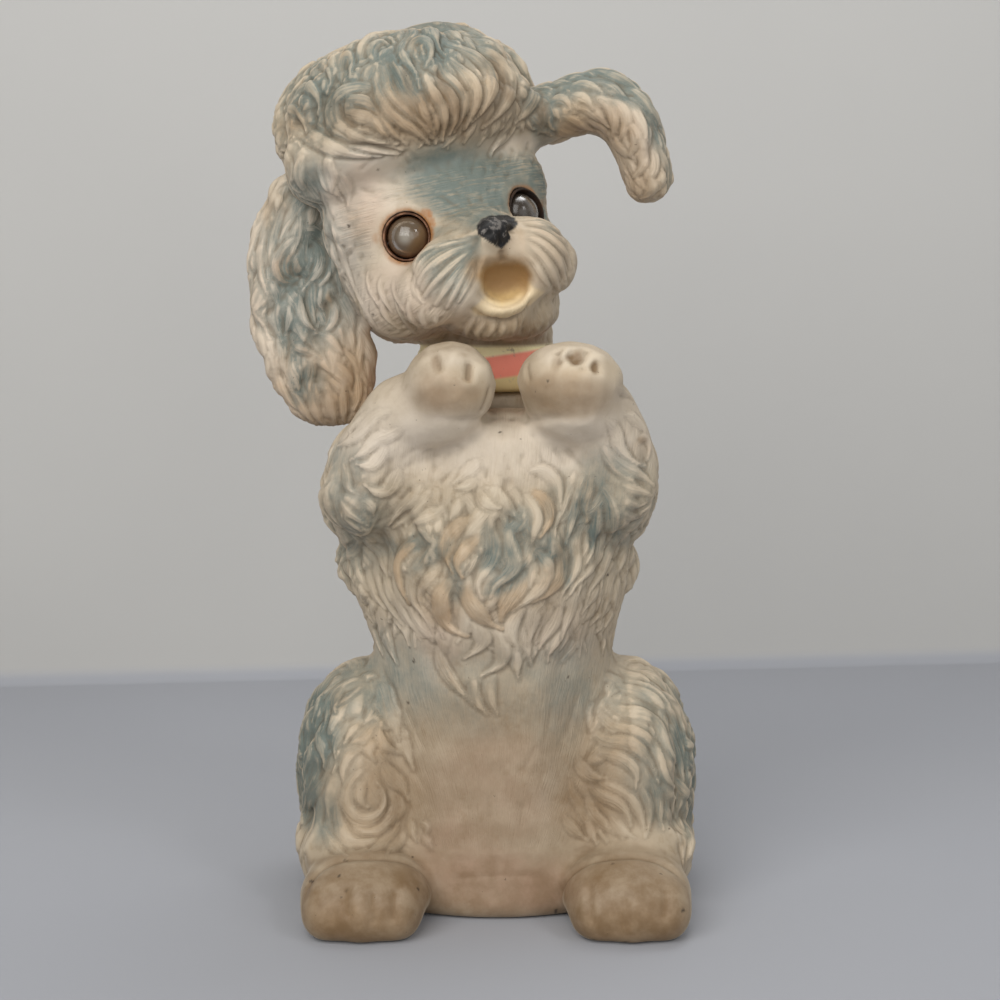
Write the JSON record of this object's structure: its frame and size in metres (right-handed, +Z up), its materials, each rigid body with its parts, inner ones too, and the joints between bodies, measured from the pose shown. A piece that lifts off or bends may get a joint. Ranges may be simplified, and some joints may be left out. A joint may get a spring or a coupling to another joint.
{
  "type": "rubber squeak toy",
  "caption": "Hollow rubber squeak toy of a begging poodle with a head that turns, sleeping eyes that close when it lies down, and a reed squeaker in the base.",
  "frame": {"origin": "on the floor under the middle of the torso, in the plane of the flat base", "axes": "+Z up, -Y the way the toy faces, +X towards the toy's left side"},
  "size_m": [0.1452, 0.1137, 0.2787],
  "materials": {
    "cream_rubber": "aged cream rubber with airbrushed blue-grey, matt",
    "rusty_tin": "thin tin, rusted dark brown",
    "eyelid_paint": "tan enamel on pressed tin",
    "iris_print": "brown printed disc with a dark pupil",
    "clear_lens": "clear acetate, yellowed and clouded at the centre",
    "steel_wire": "plain drawn wire",
    "lead": "dull grey cast metal",
    "aluminium": "pressed sheet, slightly dulled",
    "brass_reed": "thin rolled strip"
  },
  "bodies": {
    "body": {"body_shell": "cream_rubber", "squeaker_cup": "aluminium", "squeaker_cap": "aluminium", "reed_plate": "aluminium", "reed_rivet": "brass_reed"},
    "head": {"head_shell": "cream_rubber", "right_eye_cup": "rusty_tin", "left_eye_cup": "rusty_tin", "right_eye_axle": "steel_wire", "left_eye_axle": "steel_wire"},
    "right_eye": {"right_eyeball": "eyelid_paint", "right_iris_disc": "iris_print", "right_eye_lens": "clear_lens", "right_weight_wire": "steel_wire", "right_eye_weight": "lead"},
    "left_eye": {"left_eyeball": "eyelid_paint", "left_iris_disc": "iris_print", "left_eye_lens": "clear_lens", "left_weight_wire": "steel_wire", "left_eye_weight": "lead"},
    "reed": {"reed": "brass_reed"}
  },
  "joints": [
    {"name": "head_turn", "type": "hinge", "parent": "body", "child": "head", "pos_m": [-0.003, 0.004, 0.1642], "axis": [0, 0, 1], "range_deg": [-60, 12]},
    {"name": "right_eye_close", "type": "hinge", "parent": "head", "child": "right_eye", "pos_m": [-0.02622, -0.02935, 0.212], "axis": [0.9541, -0.1147, 0.2766], "range_deg": [0, 60]},
    {"name": "left_eye_close", "type": "hinge", "parent": "head", "child": "left_eye", "pos_m": [0.00646, -0.01767, 0.21912], "axis": [0.6849, 0.7112, 0.1582], "range_deg": [0, 60]},
    {"name": "reed_flex", "type": "hinge", "parent": "body", "child": "reed", "pos_m": [0, 0.0231, 0.005], "axis": [-1, 0, 0], "range_deg": [0, 4], "stiffness_Nm_per_rad": 0.002, "springref_deg": -2.86}
  ]
}
